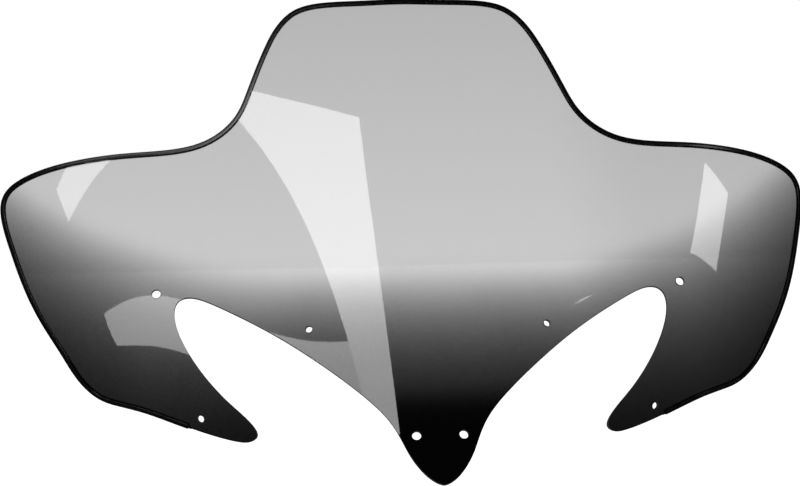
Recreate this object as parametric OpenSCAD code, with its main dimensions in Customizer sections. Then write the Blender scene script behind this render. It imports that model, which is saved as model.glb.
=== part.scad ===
// Wrap-round windshield screen: one formed plastic sheet with a beak, two flared wings and
// eight drilled holes, and a channel trim glued round its upper and outer edge.
// +X is the screen's left-right line, the convex outside faces -Y, +Z is up.

/* [Screen] */
// Width across the wings
screen_w = 794; // [640:2:900]
// Height from the point of the beak to the crown
screen_h = 461; // [380:1:540]
// Thickness of the sheet
sheet_t = 3; // [2:0.5:5]
// Rise backwards for each millimetre of height
lean = 0.54; // [0.35:0.01:0.7]
// How much the lean grows towards the crown
lean_curve = 0.0002; // [0:0.0001:0.0006]
// Depth of the bow from the middle to the wings
bow = 60; // [40:1:90]
// Extra bow for each millimetre lower down
bow_taper = 0.12; // [0:0.01:0.2]
// How hard the lower hem of the wings rolls back
hem_roll = 1.2; // [0:0.1:1.6]
// How hard the outer edge of the wings sweeps back
wing_sweep = 0.0024; // [0:0.0001:0.004]

/* [Holes] */
// Diameter of the holes in the beak and the wings
hole_d = 8.5; // [6:0.5:11]
// Diameter of the smaller holes, on the shoulder line and in the wing tips
small_hole_d = 6.5; // [5:0.5:9]
// Beak holes, out from the middle
beak_hole_x = 22; // [16:1:30]
// Beak holes, height
beak_hole_z = -178; // [-185:1:-165]
// Shoulder-line holes, out from the middle
body_hole_x = 113; // [95:1:125]
// Shoulder-line holes, height
body_hole_z = -79; // [-85:1:-60]
// Wing holes, out from the middle
wing_hole_x = 253; // [250:1:280]
// Wing holes, height
wing_hole_z = -43; // [-60:1:-20]
// Wing tip holes, out from the middle
tip_hole_x = 216; // [208:1:230]
// Wing tip holes, height
tip_hole_z = -160; // [-165:1:-150]

/* [Trim] */
// Depth of the trim channel, lip to back
trim_depth = 4.6; // [4:0.2:8]
// Wall of the trim channel
trim_wall = 0.9; // [0.7:0.1:2]
// Glue line between the sheet's edge and the root of the channel
glue_gap = 0.3; // [0.2:0.1:1]
// Slack between the sheet's faces and the legs of the channel
leg_clear = 0.15; // [0.1:0.05:0.4]

/* [Hidden] */

base_w = 794;                   // size the outline below is drawn at
base_h = 461;
kx = screen_w / base_w;
kz = screen_h / base_h;
bow_spread = 135;               // half-width over which the bow opens out
hem_start = 220;                // slanted height where the hem starts to roll
hem_soft = 8;                   // how gently the roll starts
sweep_start = 250;              // where the wings start to sweep back
sweep_soft = 20;                // how gently the sweep starts
mid = [0, 18, 10];               // middle of the finished screen, moved to the origin
slot = sheet_t / 2 + leg_clear; // half of the channel's slot
trim_h = slot + trim_wall;      // half of the channel's thickness
$fn = 48;

// Control points of the right half of the outline, crown to beak.
half = [
    [0, 241], [38, 239], [75, 239], [106, 234], [125, 214], [135, 196],      // crown and its corner
    [146, 173], [157, 147], [166, 127], [184, 109], [209, 97],               // neck and shoulder
    [241, 93], [279, 92], [316, 88], [356, 80], [393, 63],                   // top of the wing
    [399, 38], [387, -2], [376, -37], [361, -69], [342, -98],                // outer side of the wing
    [328, -123], [309, -141], [291, -146], [267, -152], [240, -163],         // lower corner and hem
    [209, -175], [177, -184], [168, -181], [163, -174],                      // wing tip
    [175, -159], [193, -143], [211, -122], [226, -99], [238, -72],           // outer side of the cut-out
    [237, -50], [220, -45], [196, -56], [165, -72], [133, -91],              // crest of the cut-out
    [98, -116], [67, -141], [47, -161], [37, -179], [31, -194],              // inner side of the cut-out
    [22, -208], [12, -218], [4, -222], [0, -223]                             // beak
];
last = len(half) - 1;

// Ribs across the sheet, tip to middle: place on the outer edge, place on the inner edge.
ribs = [
    [27.6, 29], [26.5, 30], [24.5, 31], [23, 32], [21.5, 33], [20, 33.7], [18.5, 34.3],
    [17, 34.8], [15.85, 35.15], [14.3, 35.6], [12.5, 36.2], [11, 37], [9.5, 38], [8, 39],
    [6.2, 40.5], [4.6, 42], [3, 44], [1.3, 46.3], [0, last]
];
per_rib = 4;                                 // stations from one rib to the next
half_n = (len(ribs) - 1) * per_rib;          // stations from a wing tip to the middle
n_st = 2 * half_n;
rows = 12;                                   // rows from the outer edge to the inner edge
edge_row = 8;                                // width of the first row, under the trim
trim_from = 6;                               // station where the trim ends above the wing tip

function outline_pt(i) = i < 0 ? [-half[-i][0], half[-i][1]]
    : i > last ? [-half[2 * last - i][0], half[2 * last - i][1]]
    : half[i];

// Point of the outline at place t, a smooth cubic curve steered by the control points.
function outline(t) = let(i = floor(t), f = t - i, g = 1 - f,
        p = (g * g * g * outline_pt(i - 1) + (3 * f * f * f - 6 * f * f + 4) * outline_pt(i)
            + (3 * g * g * g - 6 * g * g + 4) * outline_pt(i + 1) + f * f * f * outline_pt(i + 2)) / 6)
    [p[0] * kx, p[1] * kz];

// Depth of the sheet's middle face over a point (x, z) of the outline's plane.
function opened(x) = 1 - exp(-x * x / (2 * bow_spread * bow_spread));
function rolled(x, z) = hem_roll * hem_soft
    * ln(1 + exp((0.35 * abs(x) - 0.94 * z - hem_start) / hem_soft));
function swept(x) = wing_sweep
    * pow(sweep_soft * ln(1 + exp((abs(x) - sweep_start) / sweep_soft)), 2);
function depth(x, z) = let(u = x / kx, w = z / kz)
    lean * w + lean_curve * w * w + opened(u) * (bow - bow_taper * w + rolled(u, w)) + swept(u);

function on_sheet(p) = [p[0], depth(p[0], p[1]), p[1]] - mid;
function unit(v) = v / norm(v);
// Normal of the sheet, out of its convex face.
function facing(p) = unit([depth(p[0] + 1, p[1]) - depth(p[0] - 1, p[1]), -2,
    depth(p[0], p[1] + 1) - depth(p[0], p[1] - 1)]);

// Places on the two edges at station s, the left half mirrored from the right.
function rib_at(s) = let(k = min(floor(s / per_rib), len(ribs) - 2), f = s / per_rib - k)
    ribs[k] * (1 - f) + ribs[k + 1] * f;
function flip(p, s) = s > half_n ? [-p[0], p[1]] : p;
function outer_edge(s) = flip(outline(rib_at(min(s, n_st - s))[0]), s);
function inner_edge(s) = flip(outline(rib_at(min(s, n_st - s))[1]), s);
function row_at(s, r) = let(a = outer_edge(s), b = inner_edge(s), d = norm(b - a),
        e = min(edge_row, d / rows))
    r == 0 ? a : a + (b - a) / d * (e + (d - e) * (r - 1) / (rows - 1));

// Faces of a tube of n-sided sections, closed at both ends.
function tube_faces(n, m) = concat(
    [for (s = [0 : m - 2]) for (k = [0 : n - 1]) let(a = s * n + k, b = s * n + (k + 1) % n)
        each [[a, b, b + n], [a, b + n, a + n]]],
    [for (k = [1 : n - 2]) [0, k + 1, k]],
    [for (k = [1 : n - 2]) let(z = (m - 1) * n) [z, z + k, z + k + 1]]);

// Section of the sheet at station s: front face outwards-in, then back face inwards-out.
function face_pt(s, r, side) = let(p = row_at(s, r)) on_sheet(p) + side * sheet_t / 2 * facing(p);
function sheet_section(s) = concat(
    [for (r = [0 : rows]) face_pt(s, r, 1)],
    [for (r = [rows : -1 : 0]) face_pt(s, r, -1)]);

// Frame of the outer edge at station s: out of the edge, and out of the convex face.
function edge_out(s) = let(a = on_sheet(outer_edge(s)), t = unit(on_sheet(outer_edge(s + 1))
        - on_sheet(outer_edge(s - 1))), d = a - on_sheet(row_at(s, 1)))
    unit(d - (d * t) * t);
function edge_up(s) = let(t = unit(on_sheet(outer_edge(s + 1)) - on_sheet(outer_edge(s - 1))))
    unit(cross(edge_out(s), t));
function edge_pt(s, p) = on_sheet(outer_edge(s)) + p[0] * edge_out(s) + p[1] * edge_up(s);

back = glue_gap + trim_wall;                 // outer face of the channel, beyond the sheet's edge
lip = back - trim_depth;                     // free ends of the channel's legs
soft = 0.5 * trim_wall;                      // rounding of the channel's outer corners
channel = [
    [glue_gap, slot], [lip, slot], [lip, trim_h - soft / 2], [lip + soft / 2, trim_h],
    [back - soft, trim_h], [back, trim_h - soft], [back, soft - trim_h], [back - soft, -trim_h],
    [lip + soft / 2, -trim_h], [lip, soft / 2 - trim_h], [lip, -slot], [glue_gap, -slot]
];

// Clearance hole square to the sheet.
module fixing_hole(x, z, d) {
    p = [x * kx, z * kz];
    v = facing(p);
    translate(on_sheet(p)) rotate([0, acos(v[2]), atan2(v[1], v[0])])
        cylinder(h = 4 * sheet_t + 8, d = d, center = true);
}

// One formed sheet, drilled after forming.
module screen_sheet() color([0.32, 0.33, 0.34, 0.7]) difference() {
    polyhedron([for (s = [0 : n_st]) each sheet_section(s)],
        tube_faces(2 * rows + 2, n_st + 1), convexity = 10);
    for (side = [-1, 1]) {
        fixing_hole(side * beak_hole_x, beak_hole_z, hole_d);
        fixing_hole(side * body_hole_x, body_hole_z, small_hole_d);
        fixing_hole(side * wing_hole_x, wing_hole_z, hole_d);
        fixing_hole(side * tip_hole_x, tip_hole_z, small_hole_d);
    }
}

// Flexible channel pushed over the edge from one wing tip round the crown to the other.
module edge_trim() color([0.06, 0.06, 0.06]) polyhedron(
    [for (s = [trim_from : n_st - trim_from]) for (p = channel) edge_pt(s, p)],
    tube_faces(len(channel), n_st - 2 * trim_from + 1), convexity = 10);

// Line of glue that fills the root of the channel against the sheet's edge.
module trim_glue() color([0.5, 0.48, 0.42]) polyhedron(
    [for (s = [trim_from : n_st - trim_from]) each [face_pt(s, 0, 1), face_pt(s, 0, -1),
        edge_pt(s, [glue_gap, -slot]), edge_pt(s, [glue_gap, slot])]],
    tube_faces(4, n_st - 2 * trim_from + 1), convexity = 10);

screen_sheet();
edge_trim();
trim_glue();
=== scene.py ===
"""Smoke-tinted windshield screen with a black fade and a vinyl edge trim, in a white studio."""

import math

import bmesh
import bpy
import numpy as np
from mathutils import Matrix, Vector


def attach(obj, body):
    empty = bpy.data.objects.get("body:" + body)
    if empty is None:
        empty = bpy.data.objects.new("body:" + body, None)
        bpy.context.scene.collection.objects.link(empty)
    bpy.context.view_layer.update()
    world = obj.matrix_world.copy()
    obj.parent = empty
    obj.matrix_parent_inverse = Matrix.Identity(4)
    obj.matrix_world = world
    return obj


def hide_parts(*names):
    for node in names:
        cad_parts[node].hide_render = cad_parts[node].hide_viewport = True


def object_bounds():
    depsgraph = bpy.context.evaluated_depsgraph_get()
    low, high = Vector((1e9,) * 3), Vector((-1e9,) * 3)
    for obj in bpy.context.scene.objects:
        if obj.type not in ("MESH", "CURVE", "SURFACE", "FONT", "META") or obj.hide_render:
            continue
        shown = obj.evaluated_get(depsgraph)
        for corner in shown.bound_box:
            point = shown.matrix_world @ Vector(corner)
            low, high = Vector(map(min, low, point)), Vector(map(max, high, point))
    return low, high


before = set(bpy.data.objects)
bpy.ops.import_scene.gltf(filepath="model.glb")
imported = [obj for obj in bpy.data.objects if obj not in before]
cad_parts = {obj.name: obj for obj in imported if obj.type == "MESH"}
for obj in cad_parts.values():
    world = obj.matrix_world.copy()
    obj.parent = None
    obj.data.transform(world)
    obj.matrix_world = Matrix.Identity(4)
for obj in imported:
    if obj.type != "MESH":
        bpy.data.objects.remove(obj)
cad_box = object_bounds()


# ---------------------------------------------------------------- Screen sheet
# One sheet of 3 mm polycarbonate, routed to its outline flat, softened in an oven and formed over a
# buck to a double curve, then drilled. Its cut edges are scraped and flamed, so they are soft and clear.

SHEET = 0.003  # thickness
ARRIS = 0.0005  # softening of the cut edges
MIDDLE = Vector((0, 0.018, 0.010))  # middle of the finished screen, which is the frame's origin

# Right half of the outline, crown to beak, in mm across and up.
CROWN = [(0, 241), (38, 239), (75, 239), (106, 234), (125, 214), (135, 196)]
SHOULDER = [(146, 173), (157, 147), (166, 127), (184, 109), (209, 97)]
WING_TOP = [(241, 93), (279, 92), (316, 88), (356, 80), (393, 63)]
WING_SIDE = [(399, 38), (387, -2), (376, -37), (361, -69), (342, -98)]
HEM = [(328, -123), (309, -141), (291, -146), (267, -152), (240, -163), (209, -175)]
WING_TIP = [(177, -184), (168, -181), (163, -174), (175, -159)]
CUT_OUT = [(193, -143), (211, -122), (226, -99), (238, -72), (237, -50), (220, -45), (196, -56),
           (165, -72), (133, -91), (98, -116), (67, -141), (47, -161), (37, -179), (31, -194)]
BEAK = [(22, -208), (12, -218), (4, -222), (0, -223)]
HALF = np.array(CROWN + SHOULDER + WING_TOP + WING_SIDE + HEM + WING_TIP + CUT_OUT + BEAK) / 1000
LAST = len(HALF) - 1

# Ribs across the sheet, wing tip to middle: place on the outer edge, place on the inner edge.
RIBS = np.array([
    (28.15, 28.35), (27.3, 29.2), (26.5, 30), (24.5, 31), (23, 32), (21.5, 33), (20, 33.7),
    (18.5, 34.3), (17, 34.8), (15.85, 35.15), (14.3, 35.6), (12.5, 36.2), (11, 37), (9.5, 38),
    (8, 39), (6.2, 40.5), (4.6, 42), (3, 44), (1.3, 46.3), (0, LAST)])


def control_point(i):
    """Control point i of the whole outline, mirrored past the crown and past the beak."""
    j = np.abs(i)
    p = HALF[np.where(j > LAST, 2 * LAST - j, j)]
    return p * np.where((i < 0) | (i > LAST), -1, 1)[:, None] ** np.array([1, 0])


def outline(t):
    """Points of the outline at places t, a smooth cubic curve steered by the control points."""
    i = np.floor(t).astype(int)
    f = (t - i)[:, None]
    g = 1 - f
    return (g**3 * control_point(i - 1) + (3 * f**3 - 6 * f**2 + 4) * control_point(i)
            + (3 * g**3 - 6 * g**2 + 4) * control_point(i + 1) + f**3 * control_point(i + 2)) / 6


def both_edges(per_rib):
    """Outer and inner edge of the flat sheet, right wing tip to left wing tip."""
    s = np.linspace(0, len(RIBS) - 1, (len(RIBS) - 1) * per_rib + 1)
    places = np.arange(len(RIBS))
    edges = [outline(np.interp(s, places, RIBS[:, k])) for k in (0, 1)]
    return [np.vstack([e, e[-2::-1] * (-1, 1)]) for e in edges]


def ring_faces(rings, around):
    """Quads of a closed skin of rings, with a cap at each end."""
    a = np.arange(rings - 1)[:, None] * around + np.arange(around)
    b = np.arange(rings - 1)[:, None] * around + (np.arange(around) + 1) % around
    quads = np.stack([a, a + around, b + around, b], -1).reshape(-1, 4).tolist()
    first = list(range(around))
    return quads + [first, [v + (rings - 1) * around for v in reversed(first)]]


def flat_sheet(per_rib=15, rows=38, first_row=0.006):
    """The routed sheet before forming, lying in X and Z, its outer face towards -Y."""
    outer, inner = both_edges(per_rib)
    span = np.linalg.norm(inner - outer, axis=1)[:, None]
    along = (inner - outer) / span
    first = np.minimum(first_row, span / rows)
    steps = [0 * span] + [first + (span - first) * r / (rows - 1) for r in range(rows)]
    soft = np.minimum(ARRIS, span / 6)
    steps[0], steps[-1] = soft, span - soft
    front = [(d, SHEET / 2) for d in steps]
    rim = [(0.3, 0.3), (0.0, 1.0)]  # the softened corner, as parts of the arris in and down
    near = [(k * soft, SHEET / 2 - m * ARRIS) for k, m in rim]
    far = [(span - d, h) for d, h in near]
    half = near[::-1] + front + far
    section = half + [(d, -h) for d, h in reversed(half)]
    rings = np.stack([np.stack([*(outer + along * d).T, np.full(len(outer), -h)], -1)
                      for d, h in section], 1)
    mesh = bpy.data.meshes.new("flat_sheet")
    mesh.from_pydata(rings.reshape(-1, 3)[:, [0, 2, 1]].tolist(), [],
                     ring_faces(len(outer), len(section)))
    return mesh


def maths(tree, operation, a, b=0.0):
    """One Math node on two sockets or numbers, giving its result."""
    node = tree.nodes.new("ShaderNodeMath")
    node.operation = operation
    for socket, value in zip(node.inputs, (a, b)):
        if isinstance(value, (int, float)):
            socket.default_value = value
        else:
            tree.links.new(value, socket)
    return node.outputs[0]


def vector_maths(tree, operation, a, b=None, scale=None):
    """One Vector Math node on sockets, giving its result."""
    node = tree.nodes.new("ShaderNodeVectorMath")
    node.operation = operation
    tree.links.new(a, node.inputs[0])
    if b is not None:
        tree.links.new(b, node.inputs[1])
    if scale is not None:
        tree.links.new(scale, node.inputs["Scale"])
    return node.outputs[0]


def new_tree(name, inputs, outputs):
    """An empty Geometry Nodes tree with these sockets, given as (name, kind, value)."""
    tree = bpy.data.node_groups.new(name, "GeometryNodeTree")
    for way, sockets in (("INPUT", inputs), ("OUTPUT", outputs)):
        for label, kind, value in sockets:
            socket = tree.interface.new_socket(label, in_out=way, socket_type=f"NodeSocket{kind}")
            if value is not None:
                socket.default_value = value
    return tree, tree.nodes.new("NodeGroupInput"), tree.nodes.new("NodeGroupOutput")


# The buck's shape, as sizes in metres and slopes: how far back each point of the sheet lies.
BUCK = [
    ("Lean", "Float", 0.54), ("Lean growth", "Float", 0.2), ("Bow", "Float", 0.060),
    ("Bow taper", "Float", 0.12), ("Bow spread", "Float", 0.135), ("Hem roll", "Float", 1.2),
    ("Hem start", "Float", 0.220), ("Hem softness", "Float", 0.008), ("Wing sweep", "Float", 2.4),
    ("Sweep start", "Float", 0.250), ("Sweep softness", "Float", 0.020)]
BUCK_NAMES = [name for name, _, _ in BUCK]

depth_tree, given, result = new_tree(
    "depth of the buck", [("X", "Float", 0.0), ("Z", "Float", 0.0), *BUCK], [("Depth", "Float", None)])
size = given.outputs
far_out = maths(depth_tree, "ABSOLUTE", size["X"])
spread = maths(depth_tree, "DIVIDE", size["X"], size["Bow spread"])
opened = maths(depth_tree, "EXPONENT", maths(
    depth_tree, "MULTIPLY", maths(depth_tree, "MULTIPLY", spread, spread), -0.5))
opened = maths(depth_tree, "SUBTRACT", 1.0, opened)
slant = maths(depth_tree, "SUBTRACT", maths(depth_tree, "MULTIPLY", far_out, 0.35),
              maths(depth_tree, "MULTIPLY", size["Z"], 0.94))
slant = maths(depth_tree, "DIVIDE", maths(depth_tree, "SUBTRACT", slant, size["Hem start"]),
              size["Hem softness"])
rolled = maths(depth_tree, "LOGARITHM", maths(
    depth_tree, "ADD", 1.0, maths(depth_tree, "EXPONENT", slant)), math.e)
rolled = maths(depth_tree, "MULTIPLY", rolled, maths(
    depth_tree, "MULTIPLY", size["Hem roll"], size["Hem softness"]))
bowed = maths(depth_tree, "SUBTRACT", size["Bow"], maths(
    depth_tree, "MULTIPLY", size["Bow taper"], size["Z"]))
bowed = maths(depth_tree, "MULTIPLY", opened, maths(depth_tree, "ADD", bowed, rolled))
past = maths(depth_tree, "DIVIDE", maths(
    depth_tree, "SUBTRACT", far_out, size["Sweep start"]), size["Sweep softness"])
past = maths(depth_tree, "MULTIPLY", size["Sweep softness"], maths(
    depth_tree, "LOGARITHM", maths(depth_tree, "ADD", 1.0, maths(depth_tree, "EXPONENT", past)), math.e))
swept = maths(depth_tree, "MULTIPLY", maths(depth_tree, "MULTIPLY", past, past), size["Wing sweep"])
leaned = maths(depth_tree, "MULTIPLY", size["Z"], maths(
    depth_tree, "ADD", size["Lean"], maths(depth_tree, "MULTIPLY", size["Lean growth"], size["Z"])))
total = maths(depth_tree, "ADD", maths(depth_tree, "ADD", leaned, bowed), swept)
depth_tree.links.new(total, result.inputs["Depth"])


def depth_at(tree, buck, x, z):
    """The buck's depth at (x, z), inside another tree that has the buck's sizes."""
    call = tree.nodes.new("GeometryNodeGroup")
    call.node_tree = depth_tree
    tree.links.new(x, call.inputs["X"])
    tree.links.new(z, call.inputs["Z"])
    for name in BUCK_NAMES:
        tree.links.new(buck[name], call.inputs[name])
    return call.outputs["Depth"]


# Forming: every point of the flat sheet goes back to the buck, and keeps its height over it.
form_tree, given, result = new_tree(
    "form the sheet over the buck",
    [("Geometry", "Geometry", None), *BUCK, ("Middle", "Vector", MIDDLE), ("Finish", "Material", None)],
    [("Geometry", "Geometry", None)])
buck = given.outputs
place = form_tree.nodes.new("ShaderNodeSeparateXYZ")
form_tree.links.new(form_tree.nodes.new("GeometryNodeInputPosition").outputs[0], place.inputs[0])
x, over, z = place.outputs
step = 0.001
slopes = []
for dx, dz in ((step, 0.0), (0.0, step)):
    ahead, behind = (depth_at(form_tree, buck, maths(form_tree, "ADD", x, k * dx),
                              maths(form_tree, "ADD", z, k * dz)) for k in (1, -1))
    slopes.append(maths(form_tree, "SUBTRACT", ahead, behind))
facing = form_tree.nodes.new("ShaderNodeCombineXYZ")
form_tree.links.new(slopes[0], facing.inputs[0])
facing.inputs[1].default_value = -2 * step
form_tree.links.new(slopes[1], facing.inputs[2])
facing = vector_maths(form_tree, "NORMALIZE", facing.outputs[0])
on_buck = form_tree.nodes.new("ShaderNodeCombineXYZ")
form_tree.links.new(x, on_buck.inputs[0])
form_tree.links.new(depth_at(form_tree, buck, x, z), on_buck.inputs[1])
form_tree.links.new(z, on_buck.inputs[2])
height = vector_maths(form_tree, "SCALE", facing, scale=maths(form_tree, "MULTIPLY", over, -1.0))
target = vector_maths(form_tree, "SUBTRACT", vector_maths(
    form_tree, "ADD", on_buck.outputs[0], height), buck["Middle"])
noted = form_tree.nodes.new("GeometryNodeStoreNamedAttribute")
noted.data_type, noted.domain = "FLOAT_VECTOR", "POINT"
noted.inputs["Name"].default_value = "facing"
form_tree.links.new(buck["Geometry"], noted.inputs["Geometry"])
form_tree.links.new(facing, noted.inputs["Value"])
moved = form_tree.nodes.new("GeometryNodeSetPosition")
form_tree.links.new(noted.outputs["Geometry"], moved.inputs["Geometry"])
form_tree.links.new(target, moved.inputs["Position"])
real = form_tree.nodes.new("GeometryNodeRealizeInstances")
form_tree.links.new(moved.outputs["Geometry"], real.inputs["Geometry"])
coat = form_tree.nodes.new("GeometryNodeSetMaterial")
form_tree.links.new(real.outputs["Geometry"], coat.inputs["Geometry"])
form_tree.links.new(buck["Finish"], coat.inputs["Material"])
form_tree.links.new(coat.outputs["Geometry"], result.inputs["Geometry"])


def grown(mesh, tree, name, **sizes):
    """The plain mesh that a Geometry Nodes tree makes from this one."""
    start = bpy.data.objects.new(name, mesh)
    bpy.context.collection.objects.link(start)
    modifier = start.modifiers.new(name, "NODES")
    modifier.node_group = tree
    for item in tree.interface.items_tree:
        if item.item_type == "SOCKET" and item.in_out == "INPUT" and item.name in sizes:
            modifier[item.identifier] = sizes[item.name]
    evaluated = start.evaluated_get(bpy.context.evaluated_depsgraph_get())
    made = bpy.data.meshes.new_from_object(evaluated)
    bpy.data.objects.remove(start)
    return made


def vectors(mesh, name):
    """A vector attribute of a mesh's points, as an array."""
    found = np.empty(len(mesh.vertices) * 3)
    mesh.attributes[name].data.foreach_get("vector", found)
    return found.reshape(-1, 3)


def on_sheet(plan, name):
    """Places on the middle of the formed sheet, and the way it faces there."""
    points = bpy.data.meshes.new(name)
    points.from_pydata([(px, 0, pz) for px, pz in plan], [], [])
    formed = grown(points, form_tree, name)
    return vectors(formed, "position"), vectors(formed, "facing")


# Smoke plastic: neutral tint, a hair darker at the crown, then a sprayed black fade that starts in
# a shallow smile across the sheet, thickens downwards and breaks into fine droplets at its start.
FADE_FROM, WING_FROM, WING_RISE = -0.036, 0.12, 1.35  # where the fade starts, and how it climbs
FADE_SOFTNESS, THICKEST, THINNING, THINNEST = 0.005, 34.0, 55.0, 26.0  # its density per metre down
BEAK_FROM, BEAK_SOFTNESS, BEAK_THICKNESS = -0.148, 0.004, 110.0
TINT, TINT_FALL, TINT_LEVEL = 0.62, 0.5, -0.03
# Right wing: where it begins across, how much higher its fade starts, and how much painted shade darkens
# its tint.
RIGHT_WING_FROM, RIGHT_WING_TO, RIGHT_WING_FADE_RISE, RIGHT_WING_PAINTED_SHADE = 0.12, 0.24, 0.010, 0.06
smoke = bpy.data.materials.new("smoke polycarbonate with sprayed fade")
smoke.use_nodes = True
nodes, links = smoke.node_tree.nodes, smoke.node_tree.links
shader = nodes["Principled BSDF"]
shader.inputs["Transmission Weight"].default_value = 1.0
shader.inputs["IOR"].default_value = 1.586
place = nodes.new("ShaderNodeTexCoord").outputs["Object"]
split = nodes.new("ShaderNodeSeparateXYZ")
links.new(place, split.inputs[0])
across, up = split.outputs[0], split.outputs[2]
out = maths(smoke.node_tree, "ABSOLUTE", across)
past = maths(smoke.node_tree, "MAXIMUM", 0.0, maths(smoke.node_tree, "SUBTRACT", out, WING_FROM))
start = maths(smoke.node_tree, "SUBTRACT", maths(
    smoke.node_tree, "MULTIPLY", maths(smoke.node_tree, "MULTIPLY", past, past), WING_RISE), -FADE_FROM)
mottle = nodes.new("ShaderNodeTexNoise")
mottle.inputs["Scale"].default_value = 9.0
mottle.inputs["Detail"].default_value = 3.0
links.new(place, mottle.inputs["Vector"])
start = maths(smoke.node_tree, "ADD", start, maths(
    smoke.node_tree, "MULTIPLY", maths(smoke.node_tree, "SUBTRACT", mottle.outputs["Fac"], 0.5), 0.008))
# On the right wing the fade starts a little higher, and the tint there is darkened: painted shade for the
# darker look of that more obliquely seen wing.
right_wing_rise_and_shade = nodes.new("ShaderNodeMapRange")
right_wing_rise_and_shade.interpolation_type = "SMOOTHSTEP"
for label, value in (("From Min", RIGHT_WING_FROM), ("From Max", RIGHT_WING_TO)):
    right_wing_rise_and_shade.inputs[label].default_value = value
links.new(across, right_wing_rise_and_shade.inputs["Value"])
start = maths(smoke.node_tree, "ADD", start, maths(
    smoke.node_tree, "MULTIPLY", right_wing_rise_and_shade.outputs["Result"], RIGHT_WING_FADE_RISE))


def below(tree, height, edge, softness):
    """How far below an edge a height is, starting softly."""
    ratio = maths(tree, "DIVIDE", maths(tree, "SUBTRACT", edge, height), softness)
    grown_soft = maths(tree, "LOGARITHM", maths(tree, "ADD", 1.0, maths(tree, "EXPONENT", ratio)), math.e)
    return maths(tree, "MULTIPLY", grown_soft, softness)


thick = maths(smoke.node_tree, "MAXIMUM", THINNEST, maths(
    smoke.node_tree, "SUBTRACT", THICKEST, maths(smoke.node_tree, "MULTIPLY", past, THINNING)))
droplets = nodes.new("ShaderNodeTexNoise")
droplets.inputs["Scale"].default_value = 900.0
droplets.inputs["Detail"].default_value = 2.0
links.new(place, droplets.inputs["Vector"])
grain = maths(smoke.node_tree, "ADD", 0.7, maths(
    smoke.node_tree, "MULTIPLY", droplets.outputs["Fac"], 0.6))
fade = maths(smoke.node_tree, "MULTIPLY", below(smoke.node_tree, up, start, FADE_SOFTNESS), thick)
beak = below(smoke.node_tree, up, BEAK_FROM, BEAK_SOFTNESS)
beak = maths(smoke.node_tree, "MULTIPLY", beak, BEAK_THICKNESS)
beak = maths(smoke.node_tree, "MULTIPLY", beak, maths(smoke.node_tree, "LESS_THAN", out, WING_FROM))
density = maths(smoke.node_tree, "MULTIPLY", maths(smoke.node_tree, "ADD", fade, beak), grain)
clear = maths(smoke.node_tree, "EXPONENT", maths(smoke.node_tree, "MULTIPLY", density, -1.0))
tint = maths(smoke.node_tree, "SUBTRACT", TINT, maths(
    smoke.node_tree, "MULTIPLY", maths(smoke.node_tree, "ADD", up, -TINT_LEVEL), TINT_FALL))
# Painted shade: the tint is darkened across the right wing.
tint = maths(smoke.node_tree, "SUBTRACT", tint, maths(
    smoke.node_tree, "MULTIPLY", right_wing_rise_and_shade.outputs["Result"], RIGHT_WING_PAINTED_SHADE))
shade = maths(smoke.node_tree, "MULTIPLY", tint, clear)
colour = nodes.new("ShaderNodeCombineColor")
for socket in colour.inputs:
    links.new(shade, socket)
links.new(colour.outputs[0], shader.inputs["Base Color"])
haze = nodes.new("ShaderNodeTexNoise")
haze.inputs["Scale"].default_value = 35.0
haze.inputs["Detail"].default_value = 6.0
links.new(place, haze.inputs["Vector"])
links.new(maths(smoke.node_tree, "ADD", 0.012, maths(
    smoke.node_tree, "MULTIPLY", haze.outputs["Fac"], 0.02)), shader.inputs["Roughness"])

formed = grown(flat_sheet(), form_tree, "formed_sheet", Finish=smoke)

# Drilled square to the formed sheet, with the burr taken off both faces.
# Each as place across, place up and diameter.
HOLES = [(0.022, -0.178, 0.0085), (0.113, -0.079, 0.0065), (0.253, -0.043, 0.0085),
         (0.216, -0.160, 0.0065)]
drill = bmesh.new()
around = 48
burr = 0.00025
bores = [bore / 2 for _, _, bore in HOLES for _ in (1, -1)]
places = on_sheet([(k * hx, hz) for hx, hz, _ in HOLES for k in (1, -1)], "holes")
for centre, facing, bore in zip(*places, bores):
    profile = [(-3 * burr - SHEET, bore + 4 * burr + SHEET / 2), (burr - SHEET / 2, bore),
               (SHEET / 2 - burr, bore), (SHEET + 3 * burr, bore + 4 * burr + SHEET / 2)]
    turn = Vector(facing).to_track_quat("Z", "Y")
    rings = [[drill.verts.new(Vector(centre) + turn @ Vector(
        (r * math.cos(a), r * math.sin(a), h))) for a in np.arange(around) * math.tau / around]
        for h, r in profile]
    for low, high in zip(rings, rings[1:]):
        for k in range(around):
            drill.faces.new((low[k - 1], low[k], high[k], high[k - 1]))
    drill.faces.new(reversed(rings[0]))
    drill.faces.new(rings[-1])
drill_mesh = bpy.data.meshes.new("drills")
drill.to_mesh(drill_mesh)
drill.free()
drills = bpy.data.objects.new("drills", drill_mesh)
bpy.context.collection.objects.link(drills)
undrilled = bpy.data.objects.new("undrilled", formed)
bpy.context.collection.objects.link(undrilled)
cut = undrilled.modifiers.new("drill", "BOOLEAN")
cut.operation, cut.solver, cut.object = "DIFFERENCE", "EXACT", drills
drilled = bpy.data.meshes.new_from_object(
    undrilled.evaluated_get(bpy.context.evaluated_depsgraph_get()))
bpy.data.objects.remove(undrilled)
bpy.data.objects.remove(drills)


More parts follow.
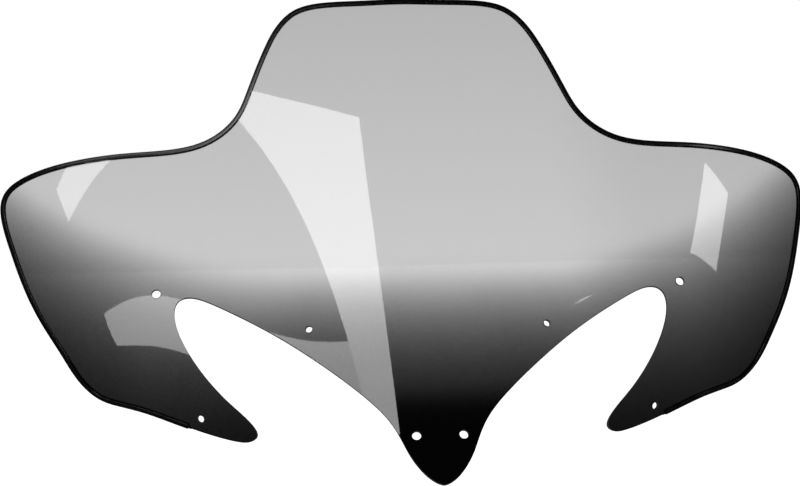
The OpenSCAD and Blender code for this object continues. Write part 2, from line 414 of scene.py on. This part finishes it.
def shade_by_rule(mesh):
    """Smooth both faces of the sheet by the way the buck faces, and keep the edges crisp."""
    positions = vectors(mesh, "position")
    plan = (positions + np.array(MIDDLE))[:, [0, 2]]
    facing = on_sheet(plan, "facing_points")[1]
    mesh.polygons.foreach_set("use_smooth", [True] * len(mesh.polygons))
    bm = bmesh.new()
    bm.from_mesh(mesh)
    for edge in bm.edges:
        edge.smooth = not (edge.is_manifold and edge.calc_face_angle(0) > math.radians(35))
    bm.to_mesh(mesh)
    bm.free()
    corners = np.empty(len(mesh.loops) * 3)
    mesh.corner_normals.foreach_get("vector", corners)
    corners = corners.reshape(-1, 3)
    owner = np.empty(len(mesh.loops), int)
    mesh.loops.foreach_get("vertex_index", owner)
    flat = np.empty(len(mesh.polygons) * 3)
    mesh.polygons.foreach_get("normal", flat)
    sizes = np.empty(len(mesh.polygons), int)
    mesh.polygons.foreach_get("loop_total", sizes)
    flat = np.repeat(flat.reshape(-1, 3), sizes, axis=0)
    side = np.einsum("ij,ij->i", flat, facing[owner])
    corners = np.where(np.abs(side)[:, None] > 0.9, np.sign(side)[:, None] * facing[owner], corners)
    mesh.normals_split_custom_set(corners.tolist())
    first_corner = np.empty(len(mesh.polygons), int)
    mesh.polygons.foreach_get("loop_start", first_corner)
    return np.abs(side[first_corner]) < 0.9


# The cut edges and hole walls are matt from the scraper and cutter. They look nearly black from in
# front, because the light in them has come a long way through the tinted sheet.
scraped = bpy.data.materials.new("scraped polycarbonate edge")
scraped.use_nodes = True
nodes, links = scraped.node_tree.nodes, scraped.node_tree.links
shader = nodes["Principled BSDF"]
shader.inputs["IOR"].default_value = 1.586
marks = nodes.new("ShaderNodeTexNoise")
marks.inputs["Scale"].default_value = 420.0
marks.inputs["Detail"].default_value = 4.0
links.new(nodes.new("ShaderNodeTexCoord").outputs["Object"], marks.inputs["Vector"])
tone = nodes.new("ShaderNodeMix")
tone.data_type = "RGBA"
tone.inputs["A"].default_value = (0.012, 0.012, 0.013, 1)
tone.inputs["B"].default_value = (0.050, 0.050, 0.052, 1)
links.new(marks.outputs["Fac"], tone.inputs["Factor"])
links.new(tone.outputs["Result"], shader.inputs["Base Color"])
links.new(maths(scraped.node_tree, "ADD", 0.3, maths(
    scraped.node_tree, "MULTIPLY", marks.outputs["Fac"], 0.3)), shader.inputs["Roughness"])

is_edge = shade_by_rule(drilled)
drilled.materials.append(scraped)
drilled.polygons.foreach_set("material_index", is_edge.astype(int))
drilled.name = "screen_sheet_formed"
sheet = bpy.data.objects.new("formed_screen", drilled)
bpy.context.collection.objects.link(sheet)
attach(sheet, "root")
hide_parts("screen_sheet")


# ------------------------------------------------------------------- Edge trim
# One length of extruded black vinyl channel, warmed and pushed over the edge from above one wing
# tip, round the crown, to above the other. It is cut square at both ends.

TRIM_FROM = 25.4  # place on the outline where it ends above the wing tip

trim_tree, given, result = new_tree(
    "push the channel over the edge",
    [("Geometry", "Geometry", None), ("Depth", "Float", 0.0046), ("Wall", "Float", 0.0009),
     ("Glue gap", "Float", 0.0003), ("Slot", "Float", 0.0033), ("Rounding", "Float", 0.0008),
     ("Finish", "Material", None)],
    [("Geometry", "Geometry", None)])
size = given.outputs
root = size["Glue gap"]
back = maths(trim_tree, "ADD", root, size["Wall"])
lip = maths(trim_tree, "SUBTRACT", back, size["Depth"])
slot_up = maths(trim_tree, "MULTIPLY", size["Slot"], 0.5)
slot_down = maths(trim_tree, "MULTIPLY", size["Slot"], -0.5)
wall_up = maths(trim_tree, "ADD", slot_up, size["Wall"])
wall_down = maths(trim_tree, "MULTIPLY", wall_up, -1.0)
corners = [(root, slot_up), (lip, slot_up), (lip, wall_up), (back, wall_up), (back, wall_down),
           (lip, wall_down), (lip, slot_down), (root, slot_down)]
choice = trim_tree.nodes.new("GeometryNodeIndexSwitch")
choice.data_type = "VECTOR"
while len(choice.index_switch_items) < len(corners):
    choice.index_switch_items.new()
trim_tree.links.new(trim_tree.nodes.new("GeometryNodeInputIndex").outputs[0], choice.inputs["Index"])
for k, (out, high) in enumerate(corners):
    corner = trim_tree.nodes.new("ShaderNodeCombineXYZ")
    trim_tree.links.new(out, corner.inputs[0])
    trim_tree.links.new(high, corner.inputs[1])
    trim_tree.links.new(corner.outputs[0], choice.inputs[k + 1])
dots = trim_tree.nodes.new("GeometryNodeMeshLine")
dots.inputs["Count"].default_value = len(corners)
shaped = trim_tree.nodes.new("GeometryNodeSetPosition")
trim_tree.links.new(dots.outputs[0], shaped.inputs["Geometry"])
trim_tree.links.new(choice.outputs[0], shaped.inputs["Position"])
profile = trim_tree.nodes.new("GeometryNodeMeshToCurve")
trim_tree.links.new(shaped.outputs[0], profile.inputs["Mesh"])
closed = trim_tree.nodes.new("GeometryNodeSetSplineCyclic")
closed.inputs["Cyclic"].default_value = True
trim_tree.links.new(profile.outputs[0], closed.inputs["Geometry"])
rounded = trim_tree.nodes.new("GeometryNodeFilletCurve")
rounded.mode = "POLY"
rounded.inputs["Count"].default_value = 3
rounded.inputs["Limit Radius"].default_value = True
trim_tree.links.new(closed.outputs[0], rounded.inputs["Curve"])
trim_tree.links.new(size["Rounding"], rounded.inputs["Radius"])
run = trim_tree.nodes.new("GeometryNodeMeshToCurve")
trim_tree.links.new(size["Geometry"], run.inputs["Mesh"])
away = trim_tree.nodes.new("GeometryNodeInputNamedAttribute")
away.data_type = "FLOAT_VECTOR"
away.inputs["Name"].default_value = "away"
held = trim_tree.nodes.new("GeometryNodeSetCurveNormal")
held.mode = "FREE"
trim_tree.links.new(run.outputs[0], held.inputs["Curve"])
trim_tree.links.new(away.outputs["Attribute"], held.inputs["Normal"])
swept_channel = trim_tree.nodes.new("GeometryNodeCurveToMesh")
swept_channel.inputs["Fill Caps"].default_value = True
trim_tree.links.new(held.outputs[0], swept_channel.inputs["Curve"])
trim_tree.links.new(rounded.outputs[0], swept_channel.inputs["Profile Curve"])
real = trim_tree.nodes.new("GeometryNodeRealizeInstances")
trim_tree.links.new(swept_channel.outputs[0], real.inputs["Geometry"])
coat = trim_tree.nodes.new("GeometryNodeSetMaterial")
trim_tree.links.new(real.outputs[0], coat.inputs["Geometry"])
trim_tree.links.new(size["Finish"], coat.inputs["Material"])
trim_tree.links.new(coat.outputs[0], result.inputs["Geometry"])

# Black vinyl: satin, with the faint lengthwise drag marks and pores of an extrusion.
vinyl = bpy.data.materials.new("black extruded vinyl")
vinyl.use_nodes = True
nodes, links = vinyl.node_tree.nodes, vinyl.node_tree.links
shader = nodes["Principled BSDF"]
shader.inputs["IOR"].default_value = 1.53
place = nodes.new("ShaderNodeTexCoord").outputs["Object"]
pores = nodes.new("ShaderNodeTexNoise")
pores.inputs["Scale"].default_value = 1400.0
pores.inputs["Detail"].default_value = 4.0
links.new(place, pores.inputs["Vector"])
wear = nodes.new("ShaderNodeTexNoise")
wear.inputs["Scale"].default_value = 22.0
wear.inputs["Detail"].default_value = 5.0
links.new(place, wear.inputs["Vector"])
tone = nodes.new("ShaderNodeMix")
tone.data_type = "RGBA"
tone.inputs["A"].default_value = (0.0012, 0.0012, 0.0013, 1)
tone.inputs["B"].default_value = (0.0035, 0.0035, 0.0037, 1)
links.new(wear.outputs["Fac"], tone.inputs["Factor"])
links.new(tone.outputs["Result"], shader.inputs["Base Color"])
links.new(maths(vinyl.node_tree, "ADD", 0.16, maths(
    vinyl.node_tree, "MULTIPLY", wear.outputs["Fac"], 0.16)), shader.inputs["Roughness"])
relief = nodes.new("ShaderNodeBump")
relief.inputs["Strength"].default_value = 0.25
relief.inputs["Distance"].default_value = 0.0001
links.new(pores.outputs["Fac"], relief.inputs["Height"])
links.new(relief.outputs["Normal"], shader.inputs["Normal"])

# The sheet's edge under the trim, and the way out of the edge along the sheet.
half_way = np.arange(TRIM_FROM, 0, -0.08)
edge = outline(np.concatenate([half_way, [0.0]]))
edge = np.vstack([edge, edge[-2::-1] * (-1, 1)])
points, facing = on_sheet(edge, "trimmed_edge")
run_on = np.gradient(points, axis=0)
run_on /= np.linalg.norm(run_on, axis=1)[:, None]
away = np.cross(facing, run_on)
away /= np.linalg.norm(away, axis=1)[:, None]
away *= np.sign(away[len(away) // 2, 2])
path = bpy.data.meshes.new("trimmed_edge")
path.from_pydata(points.tolist(), [(k, k + 1) for k in range(len(points) - 1)], [])
path.attributes.new("away", "FLOAT_VECTOR", "POINT").data.foreach_set("vector", away.ravel())
channel = grown(path, trim_tree, "channel", Finish=vinyl)
channel.name = "edge_trim_channel"
trim = bpy.data.objects.new("vinyl_trim", channel)
bpy.context.collection.objects.link(trim)
channel.polygons.foreach_set("use_smooth", [True] * len(channel.polygons))
bm = bmesh.new()
bm.from_mesh(channel)
bmesh.ops.recalc_face_normals(bm, faces=bm.faces)
for rim in bm.edges:
    rim.smooth = rim.calc_face_angle(0) < math.radians(50)
bm.to_mesh(channel)
bm.free()
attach(trim, "root")
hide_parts("edge_trim")


# -------------------------------------------------------------------- Trim glue
# A line of black contact glue in the root of the channel, against the sheet's edge. It only shows
# as a dark dot where the channel is cut at its two ends.

glue = bpy.data.materials.new("cured black glue")
glue.use_nodes = True
nodes, links = glue.node_tree.nodes, glue.node_tree.links
shader = nodes["Principled BSDF"]
place = nodes.new("ShaderNodeTexCoord").outputs["Object"]
lumps = nodes.new("ShaderNodeTexNoise")
lumps.inputs["Scale"].default_value = 500.0
links.new(place, lumps.inputs["Vector"])
tone = nodes.new("ShaderNodeMix")
tone.data_type = "RGBA"
tone.inputs["A"].default_value = (0.010, 0.009, 0.008, 1)
tone.inputs["B"].default_value = (0.035, 0.032, 0.028, 1)
links.new(lumps.outputs["Fac"], tone.inputs["Factor"])
links.new(tone.outputs["Result"], shader.inputs["Base Color"])
shader.inputs["Roughness"].default_value = 0.5
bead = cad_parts["trim_glue"]
bead.data.materials.clear()
bead.data.materials.append(glue)


# -------------------------------------------------------------- Studio and view
# A white floor in an even white room, which the sheet mirrors as dark, and plain strip boxes that it
# mirrors as white.

bpy.ops.mesh.primitive_plane_add(size=60, location=(0, 0, cad_box[0].z - 0.0005))
floor = bpy.context.object
floor.name = "floor"
paper = bpy.data.materials.new("white paper")
paper.use_nodes = True
shader = paper.node_tree.nodes["Principled BSDF"]
shader.inputs["Base Color"].default_value = (0.85, 0.85, 0.85, 1)
shader.inputs["Roughness"].default_value = 0.9
shader.inputs["Specular IOR Level"].default_value = 0.0
shader.inputs["Emission Color"].default_value = (1, 1, 1, 1)
shader.inputs["Emission Strength"].default_value = 1.1
floor.data.materials.append(paper)
floor.visible_glossy = False

room = bpy.data.worlds.new("white room")
bpy.context.scene.world = room
room.use_nodes = True
nodes, links = room.node_tree.nodes, room.node_tree.links
sky = nodes["Background"]
gloss = nodes.new("ShaderNodeLightPath").outputs["Is Reflection Ray"]
level = nodes.new("ShaderNodeMix")
level.data_type = "RGBA"
level.inputs["A"].default_value = (1.0, 1.0, 1.0, 1)
level.inputs["B"].default_value = (0.02, 0.02, 0.02, 1)
links.new(gloss, level.inputs["Factor"])
links.new(level.outputs["Result"], sky.inputs["Color"])


# Four plain strip boxes hang level above and in front of the screen, facing down: a long one beside
# the middle, two across the left wing and a small one on the right. Each has its place, its width
# and depth in metres, its turn in degrees and its brightness.
STRIP_HEIGHT = 0.59
STRIP_BOXES = [
    ("long strip box", (-0.24, -0.50), (0.20, 0.65), -10, 5.0),
    ("upper left strip box", (-0.62, -0.26), (0.55, 0.09), 6, 4.0),
    ("lower left strip box", (-0.58, -0.68), (0.50, 0.14), 0, 4.0),
    ("small right box", (0.86, -0.38), (0.20, 0.22), 0, 5.0)]
for name, (px, py), (wide, deep), turn, brightness in STRIP_BOXES:
    box = bpy.data.lights.new(name, "AREA")
    box.shape, box.size, box.size_y = "RECTANGLE", wide, deep
    box.energy = brightness * math.pi * wide * deep
    hung = bpy.data.objects.new(name, box)
    hung.location, hung.rotation_euler.z = (px, py, STRIP_HEIGHT), math.radians(turn)
    bpy.context.collection.objects.link(hung)
    hung.visible_camera = hung.visible_transmission = False

# Camera on the left of the screen's middle line, level with it, far enough back to flatten it.
camera = bpy.data.cameras.new("camera")
camera.sensor_width = 36
DISTANCE, SIDESTEP, YAW, ROLL = 3.185, 0.0224, math.radians(6.88), math.radians(1.34)
camera.lens = 36 * DISTANCE / 0.76
level_right = Vector((math.cos(YAW), -math.sin(YAW), 0))
ahead = Vector((math.sin(YAW), math.cos(YAW), 0))
right = math.cos(ROLL) * level_right - math.sin(ROLL) * Vector((0, 0, 1))
above = math.sin(ROLL) * level_right + math.cos(ROLL) * Vector((0, 0, 1))
eye = bpy.data.objects.new("camera", camera)
bpy.context.collection.objects.link(eye)
place = -DISTANCE * ahead - SIDESTEP * right - MIDDLE
eye.matrix_world = Matrix.Translation(place) @ Matrix((right, above, -ahead)).transposed().to_4x4()
bpy.context.scene.camera = eye
bpy.context.scene.view_settings.view_transform = "Standard"
